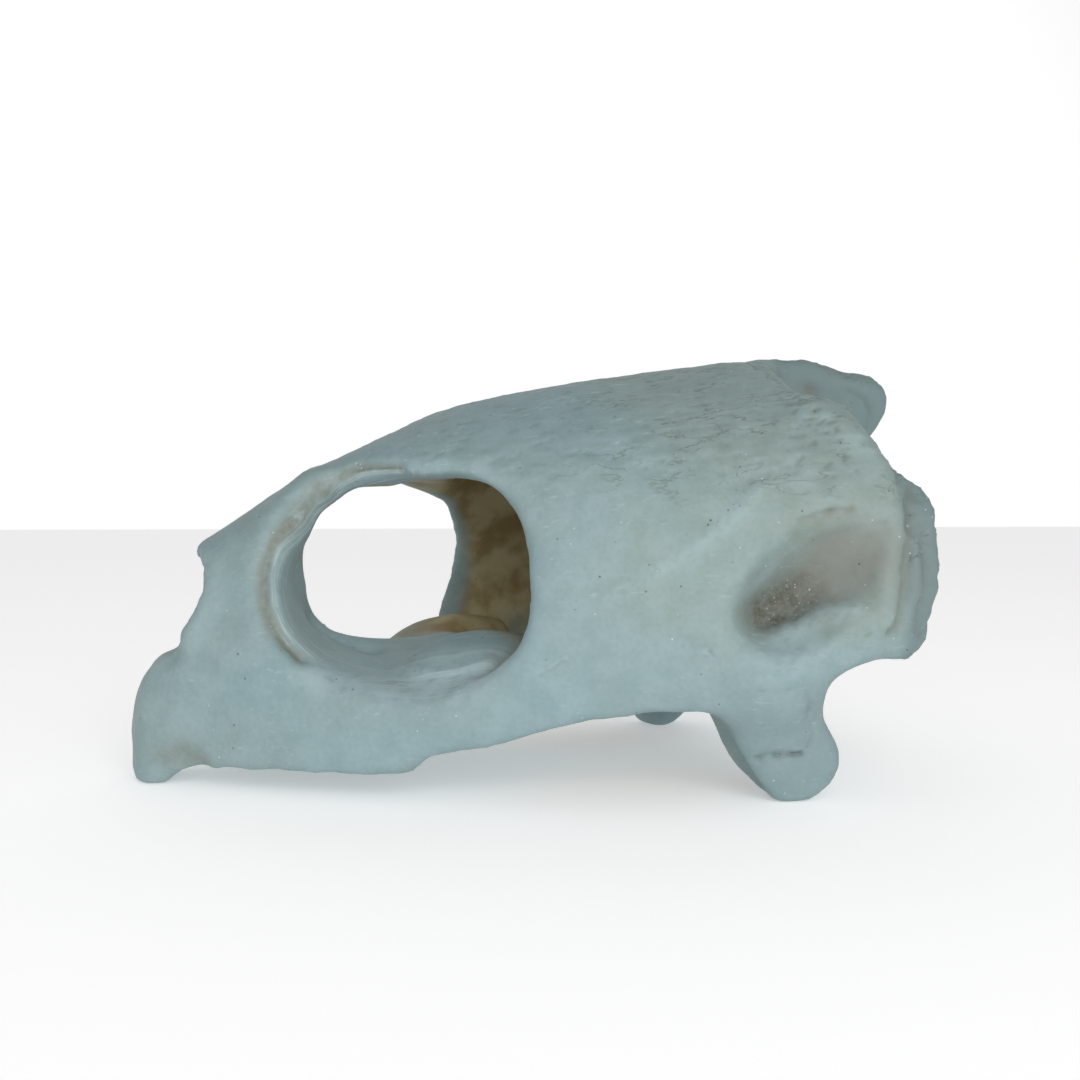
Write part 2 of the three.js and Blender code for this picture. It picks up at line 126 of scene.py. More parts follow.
def spread(values, times):
    """The values at the skull's points, averaged with their neighbours' a number of times."""
    edges = np.empty(len(skull.data.edges) * 2, int)
    skull.data.edges.foreach_get("vertices", edges)
    edges = edges.reshape(-1, 2)
    valence = np.bincount(edges.ravel(), minlength=len(skull.data.vertices))
    values = values.reshape(len(valence), -1)
    for _ in range(times):
        total = values.copy()
        for column in range(values.shape[1]):
            total[:, column] += np.bincount(edges[:, 0], values[edges[:, 1], column], len(valence))
            total[:, column] += np.bincount(edges[:, 1], values[edges[:, 0], column], len(valence))
        values = total / (valence + 1)[:, None]
    return values.squeeze()


def ramp(values, low, high):
    """0 below low, 1 above high, and an even ease between them."""
    share = np.clip((values - low) / (high - low), 0, 1)
    return share * share * (3 - 2 * share)


def weigh(name, weights):
    """A vertex group of the skull that holds these weights."""
    group = skull.vertex_groups.new(name=name)
    for index in np.flatnonzero(weights > LEAST_WEIGHT):
        group.add([int(index)], float(weights[index]), "REPLACE")
    return group.name


def wear(name, weights, times):
    """Wears the skin smooth a number of times, as far as these weights say."""
    apply_modifier("SMOOTH", factor=WEAR_SHARE, iterations=times, vertex_group=weigh(name, weights))


def shelter():
    """How far each point is closed in by the rest of the skull, from 0 to 1."""
    turn = math.pi * (3 - math.sqrt(5))
    rays = []
    for step in range(SHELTER_RAYS):
        height = SHELTER_LOWEST + SHELTER_RISE * (step + 0.5) / SHELTER_RAYS
        radius = math.sqrt(1 - height * height)
        rays.append((radius * math.cos(turn * step), radius * math.sin(turn * step), height))
    hits = np.zeros(len(skull.data.vertices))
    for index, (point, normal) in enumerate(zip(skin_points() * MM, skin_normals())):
        axis = Vector(normal)
        side = axis.orthogonal().normalized()
        front = axis.cross(side)
        start = Vector(point) + axis * SHELTER_START
        for across, ahead, out in rays:
            way = side * across + front * ahead + axis * out
            if bone_tree.ray_cast(start, way, SHELTER_REACH)[0]:
                hits[index] += 1
    return spread(hits / SHELTER_RAYS, 4)


flatness = np.linalg.norm(spread(skin_normals(), 12), axis=1)
broad = spread(ramp(flatness, 0.95, 0.99), 3)
wear("broad", broad, BROAD_WEAR)


def from_path(points, path, sides=(LEFT, RIGHT)):
    """How far points lie from a path given on the left side, and from its mirror image, in mm."""
    nearest = np.full(len(points), np.inf)
    for side in sides:
        places = np.array(path, float) * (1, -side, 1)
        for start, end in zip(places, places[1:]):
            way = end - start
            share = np.clip((points - start) @ way / max(way @ way, SHORTEST_WAY), 0, 1)
            gap = np.linalg.norm(points - start - share[:, None] * way, axis=1)
            nearest = np.minimum(nearest, gap)
    return nearest


# The cracks: dry bone opens along narrow lines, at the joints, on the cheeks and flanges and
# across the roof and the crest. The left side's skin is split finely along them, so that they
# can be cut as narrow as they are.
EAR_BROW = [(37.3, -46.2, 48.6), (42, -46.2, 49.4), (46.7, -46.3, 50)]
KNUCKLE_CREVICE = [(30.2, -44.4, 8.3), (33, -45, 8.5), (35.3, -45.1, 8.3), (37.9, -45.3, 8.9)]
FACET_EDGE = [
    (29.5, -48, 19.8), (37.5, -48.6, 19.4), (39.1, -46.5, 15.5), (40.5, -45.4, 11.2),
    (38.5, -45.3, 9.2),
]
CREST_FOLD = [(65.5, -4, 74), (68.7, -4, 72.2), (70, -4.1, 69.5), (69, -4.2, 66.5)]
HAIRLINES = [
    [(44.1, -18.6, 77.5), (41, -24, 74.7)],
    [(45.6, -20.5, 77), (42.3, -26, 74)],
    [(58.2, -46.2, 44.3), (61.8, -44.3, 46.2)],
    [(57.2, -47, 41.5), (62, -45, 44)],
    [(20.7, -46.1, 26.3), (22, -46.6, 25.9), (22.9, -47, 24.9)],
    [(-5.8, -39.8, 23.1), (-3.4, -40.5, 24.4), (-1.6, -41, 25.9)],
]
FINE_REACH = 1.2
FINE_CUTS = 2
WANDER_SIZE = 2.2
WANDER = 0.5
WANDER_SEED = 13
OPENING = 0.5
OPENING_RANGE = 0.7
LEAST_RELIEF = 0.01
fine_lines = [EAR_BROW, KNUCKLE_CREVICE, FACET_EDGE, CREST_FOLD, *HAIRLINES]
gaps = [from_path(skin_points(), line, (LEFT,)) for line in fine_lines]
near_lines = np.min(gaps, axis=0) < FINE_REACH
bpy.context.tool_settings.mesh_select_mode = (False, False, True)
bpy.ops.object.mode_set(mode="EDIT")
bpy.ops.mesh.select_all(action="DESELECT")
bpy.ops.object.mode_set(mode="OBJECT")
for face in skull.data.polygons:
    face.select = bool(near_lines[list(face.vertices)].all())
bpy.ops.object.mode_set(mode="EDIT")
bpy.ops.mesh.subdivide(number_cuts=FINE_CUTS, ngon=False)
bpy.ops.object.mode_set(mode="OBJECT")
skin_shape = skin_points()
closed_in = shelter()
noise.seed_set(WANDER_SEED)
drift = [noise.noise_vector(Vector(point) / WANDER_SIZE) for point in skin_shape]
wandering = skin_shape + WANDER * np.array(drift)
swing = np.array([noise.noise(Vector(point) / WANDER_SIZE) for point in skin_shape])
fading = OPENING + OPENING_RANGE * swing


def along(path, width, sides=(LEFT, RIGHT)):
    """1 on a path and less to either side, down to a third at this width in millimetres."""
    return np.exp(-(from_path(skin_shape, path, sides) / width) ** 2)


def crack(path, width):
    """As along, for a crack that wanders a little and opens more in some places than in others."""
    return fading * np.exp(-(from_path(wandering, path) / width) ** 2)


def sculpt(name, relief, direction="NORMAL"):
    """Moves the skin by a relief in millimetres for each point, outwards or along one axis."""
    for part, sign in (("raised", 1), ("sunk", -1)):
        height = np.clip(relief * sign, 0, None)
        if height.max() > LEAST_RELIEF:
            group = weigh(f"{name}_{part}", height / height.max())
            apply_modifier("DISPLACE", strength=sign * height.max() * MM, mid_level=0,
                           direction=direction, vertex_group=group)


hairlines = np.max([crack(line, 0.45) for line in HAIRLINES], axis=0)
sculpt("cracks", -(
    0.6 * crack(EAR_BROW, 0.7)
    + 1.6 * crack(KNUCKLE_CREVICE, 0.5)
    + 0.6 * crack(FACET_EDGE, 0.6)
    + 0.5 * along(CREST_FOLD, 0.9)
    + 0.8 * hairlines
))

# The beak: the premaxillae and maxillae, the densest bone of the skull, ending below in a blunt
# cutting edge. A shallow yellowed dent runs above the lip where the horn sheath was rooted.
SNOUT_TIP = [(-62.8, -8, 42.5), (-63, 0, 42.5)]
NOSTRIL_EDGE = [(-60.5, -9, 38), (-61, -11, 33), (-64, -11, 28)]
BEAK_NOTCH = [(-67.9, 0, 24.4), (-67.5, -9, 24)]
LIP_EDGE = [(-65.5, -10, 5.4), (-60.4, -13.5, 6)]
BEAK_BROW = [(-72.5, -8, 22), (-74, 0, 22)]
BEAK_FRONT = [(-74.5, 0, 9), (-73, -6, 9)]
BEAK_DENT = [(-69, -10, 5.6), (-66.6, -11, 6.5), (-64.7, -11.7, 6.7), (-62, -13, 5.9)]
LIP_CORNER = [(-29, -30, 4.5), (-25, -31, 5.5)]
CUTTING_EDGE = [(-61, -14, 3), (-50, -22, 4), (-35, -28, 4.2), (-27, -30.5, 4.8)]
CHEEK_EDGE = [(-14, -35, 11.5), (-2.4, -39.7, 14.6), (8.7, -40.8, 15.6)]
SNOUT_WEAR = 8
sculpt("beak", (
    1.6 * along(SNOUT_TIP, 2.5)
    + 1.4 * along(NOSTRIL_EDGE, 2.5)
    - 1.5 * along(BEAK_NOTCH, 2.4)
    - 0.9 * along(BEAK_BROW, 5)
    + 0.1 * along(BEAK_FRONT, 4)
    - 0.7 * along(BEAK_DENT, 2)
    + 0.8 * along(CUTTING_EDGE, 2.4)
    + 0.7 * along(CHEEK_EDGE, 2.4)
))
sculpt("beak_below", -1.2 * along(SNOUT_TIP, 2.6) - 1.4 * along(LIP_EDGE, 2.4), "Z")
wear("worn_snout", along(SNOUT_TIP, 3), SNOUT_WEAR)

# The eye sockets: rings of smooth bone with a broad rolled lip in front and below, a thin edge
# above and behind, and a crease painted brown where the front wall turns inwards.
SOCKET_CREASE = [
    (-27.8, -18.1, 57.1), (-34, -13, 57.8), (-40.6, -10, 53.6), (-45.5, -11, 48.5),
    (-49.4, -14.5, 43.7), (-51.3, -16.4, 38.5), (-50.8, -18.1, 33.5), (-48.9, -19.7, 29),
    (-44.7, -21.2, 24.7),
]
SOCKET_FRONT = [(-46, -9, 47), (-41, -8, 53.5)]
SOCKET_ARCH = [(-38, -8.7, 52.5), (-33, -9.5, 55.5), (-27, -10, 56.5)]
SOCKET_SILL = [(-41.2, -3.5, 29), (-38.8, -3, 27.2), (-36, -4, 25.5), (-31.5, -6, 24.5)]
SOCKET_CURVE = [(-45.5, -5, 47), (-45, -3, 41), (-44, -1.5, 36)]
SOCKET_BROW = [
    (-30, -19, 59.5), (-37, -16, 58.5), (-43.5, -14, 54), (-48.5, -14.5, 48.5),
    (-52, -17, 43), (-53.5, -18.5, 38), (-53, -20.5, 33), (-51, -22, 28), (-47, -24, 23.5),
]
SOCKET_HUMP = [(-22, -21.5, 25.5), (-12, -24.5, 26.5)]
SOCKET_LIP = [
    (-28, -18.9, 21.7), (-22.5, -25.8, 21.7), (-17.6, -28.7, 22.3), (-12.4, -28.5, 23.9),
]
REAR_RIM_EDGE = [
    (-8.2, -33, 50.8), (-6.4, -35, 48.3), (-6.6, -36.8, 41.6), (-6.9, -36.9, 34.9), (-8, -36, 29),
]
REAR_RIM_BAND = [
    (-8, -29, 51), (-5, -31, 48.5), (-4.5, -33, 42), (-4.8, -33, 35), (-6, -32, 29.5),
]
REAR_RIM_FOOT = [(-8, -36, 31), (-9.5, -35, 26.5)]
REAR_RIM_TOP = [(-12.2, -25.7, 52.1), (-9, -30, 49.5)]
TOP_RIM_EDGE = [(-17, -24, 55.5), (-10.9, -30.3, 53.7), (-8.2, -33, 50.8)]
SOCKET_RIM = TOP_RIM_EDGE + REAR_RIM_EDGE
SOCKET_WEAR = 40
FAR_SOCKET_WEAR = 50
sculpt("sockets", (
    3 * along(SOCKET_FRONT, 4.5)
    + 1.2 * along(SOCKET_ARCH, 3.5)
    + 0.8 * along(SOCKET_CURVE, 3)
    - 1.9 * along(SOCKET_SILL, 3)
    - 1.3 * along(SOCKET_CREASE, 1.7)
    + 0.8 * along(SOCKET_BROW, 2.4)
    - 0.8 * along(SOCKET_HUMP, 5)
    + 0.5 * along(SOCKET_LIP, 1)
))
far_ahead = 3.9 * along(REAR_RIM_EDGE, 6, (RIGHT,)) + 2.4 * along(REAR_RIM_FOOT, 4.5, (RIGHT,))
far_below = 3 * along(TOP_RIM_EDGE, 6, (RIGHT,)) + 1.6 * along(REAR_RIM_TOP, 4.5, (RIGHT,))
sculpt("far_rear_rim", -far_ahead, "X")
sculpt("far_top_rim", -far_below, "Z")
sculpt("rim_band", 1.5 * along(REAR_RIM_BAND, 2))
wear("worn_rims", np.maximum(along(SOCKET_FRONT, 5), along(SOCKET_RIM, 5)), SOCKET_WEAR)
wear("far_worn", along(SOCKET_RIM + REAR_RIM_FOOT, 6, (RIGHT,)), FAR_SOCKET_WEAR)

# The ear hollows: shallow bowls behind the cheeks, deepest and most porous at the lower front,
# with a rounded lip below and a low brow above.
EAR_DEEP = [(33.9, -38.7, 31.6), (40.3, -39.3, 34.9), (45, -41.4, 37.5)]
EAR_LIP = [(36, -42.5, 28.5), (42.3, -43.3, 31.5), (47, -45.8, 32.7)]
EAR_SLOPE = [(46, -43, 42), (50, -44.5, 42)]
EAR_FOOT = [(30, -46.9, 25.9), (34, -48, 24.3), (37.6, -47.7, 25.8)]
EAR_EDGE = [
    (30.5, -44, 31), (32.5, -43, 36.5), (36, -43.5, 41.5), (41, -44.5, 45.5), (46, -45.5, 48),
]
EAR_WEAR = 30
sculpt("ears", (
    -0.5 * along(EAR_DEEP, 3.6)
    + 0.4 * along(EAR_EDGE, 1.4)
    + 1.5 * along(EAR_LIP, 2.6)
    + 1 * along(EAR_SLOPE, 4.5)
))
wear("worn_ears", along(EAR_DEEP, 6), EAR_WEAR)

# The jaw joints: two stout pillars of the quadrates, each with a flat facet on its side and a
# rolled knuckle below, parted by a dark crevice.
FACET = [(31.5, -47, 14.5), (36, -47, 14)]
PILLAR_FRONT = [
    (23.7, -41.2, 14), (25.2, -40, 11.5), (26.6, -40, 9.2), (28.7, -40.4, 6.3),
    (31.2, -39.4, 3.4),
]
PILLAR_INSIDE = [(24.5, -38, 13.5), (26, -38, 10), (28, -38, 7)]
PILLAR_NOTCH = [
    (41.8, -47.6, 20.2), (43.2, -48.5, 22.9), (45.3, -48.7, 24.9), (47.9, -48.8, 26.2),
    (51, -48.8, 26.3),
]
PILLAR_WEAR = 16
sculpt("jaw_joints", (
    0.7 * along(FACET, 3)
    - 2.2 * along(PILLAR_FRONT, 3.4)
    - 0.8 * along(PILLAR_NOTCH, 2.6)
))
sculpt("jaw_notches", 2 * along(PILLAR_NOTCH, 5), "Z")
sculpt("jaw_fronts", 1.6 * along(PILLAR_INSIDE, 4), "X")
worn_pillars = np.maximum(along(PILLAR_FRONT, 4), along(PILLAR_NOTCH, 3))
wear("worn_pillars", worn_pillars, PILLAR_WEAR)

# The rear of the roof: a thick rim that curves down from the crest to the ears, with the thin
# flange of the squamosal behind it and the long blade of the crest between the two sides.
REAR_RIM = [
    (43.5, -31.4, 71.1), (48.9, -38.5, 64.8), (53.5, -42, 58.5), (54.8, -45, 48.5),
    (52.5, -47.5, 39), (51.8, -48.3, 31), (50, -48.4, 26),
]
FLANGE_STEP = [
    (59.2, -42.4, 53.8), (57.4, -45.8, 47.6), (55.8, -47, 39.5), (55.2, -48, 33),
    (53.6, -48.5, 28),
]
FLANGE_EDGE = [(61.5, -43, 50), (62.5, -44, 43), (61.5, -45, 36)]
FLANGE_RIDGE = [(58.4, -46, 48), (57.8, -47.2, 39), (56.8, -48, 30)]
FLANGE_GROOVE = [(60.6, -44.8, 47), (60, -46, 38), (58.8, -47, 31)]
CREST_DIMPLES = [
    [(45.5, -9.5, 78.2), (47, -9, 77.2)],
    [(57, -3.1, 74.3), (58.2, -3.1, 73.5)],
]
CREST_END = [(75, 0, 70), (75.2, 0, 66)]
ROOF_PEAK = [(32, 0, 78.5), (43, 0, 81)]
CREST_TOP = [(58, 0, 77.8), (62, 0, 76.8), (68, 0, 75), (72, 0, 73)]
CREST_CORNER = [(71, 0, 73.5), (73.5, 0, 71.5)]
ROOF_TIP = [(44, 0, 80), (45, -8, 79.5)]
ROOF_MARGIN = [(46.5, -13, 78), (47.5, -20, 76.5), (48, -27, 73.8)]
ROOF_WEAR = 24
dimples = np.max([along(dimple, 1.2) for dimple in CREST_DIMPLES], axis=0)
sculpt("rear", (
    0.8 * along(REAR_RIM, 2.2)
    - 0.9 * along(FLANGE_STEP, 1.3)
    + 1.7 * along(FLANGE_EDGE, 3)
    + 0.7 * along(FLANGE_RIDGE, 1.1)
    - 0.7 * along(FLANGE_GROOVE, 1.1)
    + 1.6 * along(CREST_TOP, 4)
    - 1.2 * along(CREST_END, 3)
    - 0.7 * dimples
    - 0.8 * along(ROOF_PEAK, 8)
))
sculpt("crest_corner", 1.4 * along(CREST_CORNER, 3), "Z")
sculpt("roof_margin_ahead", -5 * along(ROOF_MARGIN, 5), "X")
sculpt("roof_margin_below", -3 * along(ROOF_MARGIN, 5), "Z")
roof_end = np.maximum(along(ROOF_TIP, 6), along(ROOF_MARGIN + REAR_RIM[:3], 5))
wear("worn_roof", roof_end, ROOF_WEAR)

# The cheeks: broad plates in front of the ears, with a low ridge that climbs across them to
# the roof, a shallow trough below it and a row of small holes for vessels at its upper end.
CHEEK_RIDGE = [
    (5.6, -42.2, 35.1), (12.9, -43.3, 39.7), (20.5, -44.2, 44.1), (26.6, -44.1, 49.1),
    (31.3, -43.4, 53.3),
]
PIT_ROW = [
    (28.5, -39.2, 59.7), (29.1, -40.8, 57.4), (28.2, -42, 55), (27.6, -42.9, 52.8),
    (27.4, -43.8, 50.5), (25.5, -43.7, 49.6), (23.2, -43.4, 48.8), (21.6, -43.4, 47.6),
]
CHEEK_TROUGH = [(19, -45, 37), (26, -45, 42.5)]
sculpt("cheeks", 0.35 * along(CHEEK_RIDGE, 1.8) - 0.6 * along(CHEEK_TROUGH, 5))

# The weathering: every plate is gently uneven, with a finer grain over it and low pebbles
# where the roof thickens towards the rear. Dirt has stayed in the finest hollows of it.
GRAIN_DEPTH = 2
rearward, rightward, upward = skin_shape.T


def roughen(name, size, height, weights, stretch=1):
    """Raises and sinks the skin by a cloudy grain of this size and height, in millimetres."""
    grain = bpy.data.textures.new(name, "CLOUDS")
    grain.noise_scale = size * MM
    grain.noise_depth = GRAIN_DEPTH
    bpy.ops.object.empty_add()
    guide = bpy.context.object
    guide.scale = (stretch, 1, 1)
    bpy.context.view_layer.objects.active = skull
    apply_modifier("DISPLACE", texture=grain, texture_coords="OBJECT", texture_coords_object=guide,
                   strength=height * MM, mid_level=0.5, vertex_group=weigh(name, weights))
    bpy.data.objects.remove(guide)


outside = 1 - ramp(closed_in, 0.35, 0.6)
from_middle = np.abs(rightward)
flanges = ramp(rearward, 54, 58) * ramp(from_middle, 34, 38)
facing_up = ramp(skin_normals()[:, 2], 0.1, 0.6) * ramp(upward, 45, 58)
pebbled = np.maximum(facing_up * ramp(rearward, 25, 45), along(REAR_RIM, 4))
roughen("swells", 14, 0.7, outside)
roughen("unevenness", 4, 0.35, outside)
roughen("fibres", 1.5, 0.45, facing_up, 4)
roughen("pebbles", 2.2, 0.6, pebbled)
roughen("flange_breaks", 3, 1.6, flanges)
roughen("ear_pores", 1.2, 0.5, np.maximum(along(EAR_DEEP, 4), along(EAR_FOOT, 5)))
hollow = np.sum((spread(skin_points(), 2) - skin_points()) * skin_normals(), axis=1)

# The bone itself: dry, matt and finely pitted, pale grey-green with a blue cast, stained ochre
# where the hollows inside never bleached, with painted shade darkening those hollows too, and
# brown in the creases. The stains and the painted shade follow the forms above, and the grain
# runs through the bone in the skull's own coordinates.
BLUE_BONE = (132, 156, 161)
GREEN_BONE = (134, 150, 144)
PALE_BONE = (155, 175, 179)
OCHRE_BONE = (174, 163, 127)
UMBER_BONE = (138, 119, 79)
BROWN_STAIN_AND_SHADE = (110, 105, 84)
GRIME = (98, 110, 102)
PINK_STAIN = (124, 123, 115)
DARK_STAIN = (84, 82, 70)
PIT_BROWN = (70, 68, 56)
STREAK_GREY = (108, 124, 120)
SPECK_WHITE = (205, 218, 220)
PAINTED_SHADE_BONE = (106, 124, 126)
RING_REACH = 20
SOCKET_FLOOR = [
    (-40, -23, 21.5), (-33, -25, 20), (-26, -28, 19.5), (-19, -31.5, 20.5), (-13, -32.5, 22.5),
]
SOCKET_RING = SOCKET_CREASE + SOCKET_FLOOR
BONE_ROUGHNESS = 0.6
BONE_GLOSS = 0.35
BUMP_STRENGTH = 0.35
BUMP_DEPTH = 0.25 * MM


def paint(name, values):
    """Stores one value for each point of the skull under a name that the material reads."""
    layer = skull.data.attributes.new(name, "FLOAT", "POINT")
    layer.data.foreach_set("value", np.clip(values, 0, 1).astype(np.float32))


normals = skin_normals()

# Ochre in the closed hollows behind the sockets, under the far one and in the nose, partly a
# real stain and partly painted shade that darkens these hollows; less of it on the rims and on
# faces that are turned outwards or to the rear.
facing_out = normals[:, 1] * np.sign(rightward) * ramp(from_middle, 30, 36)
facing_back = ramp(normals[:, 0], 0.2, 0.7) * ramp(rearward, 25, 35)
behind_socket = ramp(rearward, -16, -6)
under_socket = ramp(rearward, -38, -32) * ramp(rightward, 1, 6)
off_rims = ramp(from_path(skin_shape, SOCKET_RIM), 1.8, 2.8)
off_far_rim = ramp(from_path(skin_shape, SOCKET_RIM + REAR_RIM_FOOT, (RIGHT,)), 2.5, 4.5)
nose = ramp(-rearward, 50, 54) * (1 - ramp(from_middle, 8, 11)) * ramp(upward, 22, 26)
ochre_stain_and_shade = spread(ramp(closed_in, 0.36, 0.6), 6) * np.maximum(behind_socket, under_socket)
ochre_stain_and_shade *= (1 - along(SOCKET_HUMP, 9, (LEFT,))) * (1 - ramp(facing_out, 0, 0.3))
ochre_stain_and_shade *= (0.75 + 0.25 * off_rims) * (0.1 + 0.9 * off_far_rim)
ochre_stain_and_shade *= 1 - facing_back * (1 - ramp(closed_in, 0.55, 0.75))
paint("ochre_stain_and_shade", np.maximum(ochre_stain_and_shade, 0.85 * nose * ramp(closed_in, 0.3, 0.55)))

# Brown in the creases and cracks and at the lip's rear corner, painted shade in brown on the far
# socket's floor, and dark dirt in the ear hollows and the crevices of the jaw joints.
paint("brown", (
    0.7 * along(SOCKET_CREASE, 1.5)
    + 0.4 * along(BEAK_DENT, 2.4)
    + 0.35 * along(LIP_CORNER, 1.6)
    + 0.7 * crack(EAR_BROW, 1.1)
    + 0.3 * along(FLANGE_STEP, 0.9)
    + 0.2 * along(FLANGE_GROOVE, 0.9)
    + 0.15 * crack(FACET_EDGE, 0.4)
    + 0.6 * dimples
    # Painted shade on the far socket's floor.
    + 0.7 * along(SOCKET_HUMP, 7, (RIGHT,))
))
paint("dark", 1.3 * along(EAR_DEEP[:2], 4) + 1.2 * crack(KNUCKLE_CREVICE, 0.35))
paint("pink", along(EAR_SLOPE, 7) + 0.8 * along(EAR_DEEP, 6))
clean = 1 - np.maximum(along(EAR_DEEP, 8), along(SOCKET_CREASE, 5))
paint("dirt", ramp(hollow, 0.02, 0.08) * clean * np.maximum(pebbled, 0.6 * facing_up))

# Pale where the bone is rubbed or freshly broken, with painted light on the floors of the sockets
# where they face up; greener to the rear; and darker with painted shade on the crest's sides, the
# flanges, the snout's upturned faces, the jaw joints and the humps under the sockets, where these
# turn away from the light. The walls of the sockets have a grain that follows their rims.
socket_wall = along(SOCKET_RING, 6) * ramp(closed_in, 0.08, 0.25)
# Painted light: the sockets' floors are made paler, as if lit from above.
paint("pale", (
    0.3 * socket_wall
    + 0.4 * along(EAR_FOOT, 4)
    + 0.6 * along(EAR_LIP, 2.5)
    + 0.4 * along(CHEEK_RIDGE, 1.4)
    + hairlines
    + 0.9 * along(SOCKET_FLOOR, 4)
))
paint("rear", ramp(rearward, 0, 26) * ramp(upward, 22, 34))
crest_sides = ramp(rearward, 46, 52) * (1 - ramp(from_middle, 8, 12))
snout = ramp(normals[:, 2], 0.3, 0.75) * ramp(upward, 38, 44)
joints = ramp(rearward, 20, 26) * (1 - ramp(upward, 14, 26))
humps = along(SOCKET_HUMP, 6)
# Painted shade: darker on the crest's sides, the flanges, the snout's upturned faces, the lower jaw
# joints and the humps under the sockets.
paint("painted_shade", np.max([
    0.9 * crest_sides,
    0.8 * flanges,
    0.34 * snout,
    0.35 * joints,
    0.4 * humps,
], axis=0))
paint("roof", facing_up)
paint("wrinkled", facing_up * ramp(rearward, -10, 15))
paint("pit_row", 1.4 * along(PIT_ROW, 0.6, (LEFT,)))
paint("ring", from_path(skin_shape, SOCKET_RING) / RING_REACH)
paint("socket_wall", socket_wall)
dry_bone = bpy.data.materials.new("dry_bone")
dry_bone.use_nodes = True
nodes = dry_bone.node_tree.nodes
links = dry_bone.node_tree.links
shader = nodes["Principled BSDF"]
shader.inputs["Roughness"].default_value = BONE_ROUGHNESS
shader.inputs["Specular IOR Level"].default_value = BONE_GLOSS
place = nodes.new("ShaderNodeTexCoord").outputs["Object"]


def connect(value, socket):
    """Joins an output to a socket, or sets the socket to a plain value."""
    if hasattr(value, "is_linked"):
        links.new(value, socket)
    else:
        socket.default_value = value


def light_values(colour):
    """A colour given by its display values from 0 to 255, as the light values a shader takes."""
    shares = np.array(colour) / 255
    return (*np.where(shares <= 0.04045, shares / 12.92, ((shares + 0.055) / 1.055) ** 2.4), 1)


def blend(share, first, second):
    """A colour that runs from first to second by a share."""
    node = nodes.new("ShaderNodeMix")
    node.data_type = "RGBA"
    connect(share, node.inputs["Factor"])
    connect(first, node.inputs[6])
    connect(second, node.inputs[7])
    return node.outputs[2]


def lay(tint, share, under):
    """A tint given by its display values, laid over another colour by a share."""
    return blend(share, under, light_values(tint))


def measure(operation, first, second):
    """A sum of two values or another operation on them."""
    node = nodes.new("ShaderNodeMath")
    node.operation = operation
    connect(first, node.inputs[0])
    connect(second, node.inputs[1])
    return node.outputs["Value"]


def scaled(value, share):
    """A value times another one."""
    return measure("MULTIPLY", value, share)


def ease(value, low, high, start=0.0, end=1.0):
    """A value that runs smoothly from start at low to end at high, and stays there."""
    node = nodes.new("ShaderNodeMapRange")
    node.interpolation_type = "SMOOTHSTEP"
    connect(value, node.inputs["Value"])
    node.inputs["From Min"].default_value = low
    node.inputs["From Max"].default_value = high
    node.inputs["To Min"].default_value = start
    node.inputs["To Max"].default_value = end
    return node.outputs["Result"]


def read(name):
    """A value that is stored on the skull's points."""
    node = nodes.new("ShaderNodeAttribute")
    node.attribute_name = name
    return node.outputs["Fac"]


def stretched(stretch):
    """The skull's own coordinates, drawn out lengthwise by a factor."""
    node = nodes.new("ShaderNodeMapping")
    node.inputs["Scale"].default_value = (1 / stretch, 1, 1)
    links.new(place, node.inputs["Vector"])
    return node.outputs["Vector"]


def cloud(size, detail=4, stretch=1):
    """A cloudy grain from 0 to 1 with lumps of this size in millimetres."""
    node = nodes.new("ShaderNodeTexNoise")
    node.inputs["Scale"].default_value = 1 / (size * MM)
    node.inputs["Detail"].default_value = detail
    links.new(stretched(stretch), node.inputs["Vector"])
    return node.outputs["Fac"]


def ring_grain(size, length):
    """A grain that follows the sockets' rims, in lines of this size and length in millimetres."""
    depth = nodes.new("ShaderNodeSeparateXYZ")
    links.new(place, depth.inputs["Vector"])
    spot = nodes.new("ShaderNodeCombineXYZ")
    links.new(scaled(read("ring"), RING_REACH / size), spot.inputs["X"])
    links.new(measure("DIVIDE", depth.outputs["Z"], length * MM), spot.inputs["Y"])
    node = nodes.new("ShaderNodeTexNoise")
    node.inputs["Scale"].default_value = 1
    links.new(spot.outputs["Vector"], node.inputs["Vector"])
    return node.outputs["Fac"]


def specks(spacing, radius):
    """Round specks of this radius, scattered about this far apart, in millimetres."""
    node = nodes.new("ShaderNodeTexVoronoi")
    node.inputs["Scale"].default_value = 1 / (spacing * MM)
    links.new(place, node.inputs["Vector"])
    return ease(node.outputs["Distance"], radius / spacing, 0.4 * radius / spacing)


patches = ease(cloud(26, 3), 0.4, 0.62)
mottle = ease(cloud(5, 5), 0.3, 0.7)
grain = cloud(0.9, 6)
fibres = cloud(1.3, 5, 7)
from_line = measure("ABSOLUTE", measure("SUBTRACT", cloud(2.2, 4, 3.5), 0.5), 0.0)
streaks = scaled(ease(from_line, 0.022, 0.006), ease(cloud(6, 3), 0.45, 0.6))
wrinkles = scaled(streaks, read("wrinkled"))
scratches = scaled(ease(cloud(0.8, 4, 8), 0.58, 0.75), ease(cloud(11, 3), 0.45, 0.6))
rings = scaled(ease(ring_grain(0.5, 9), 0.45, 0.65), read("socket_wall"))
roof = read("roof")
greening = measure("ADD", scaled(patches, 0.4), scaled(read("rear"), 0.8))
colour = lay(GREEN_BONE, greening, light_values(BLUE_BONE))
colour = lay(PALE_BONE, scaled(mottle, 0.35), colour)
colour = lay(STREAK_GREY, scaled(ease(grain, 0.35, 0.7), 0.14), colour)
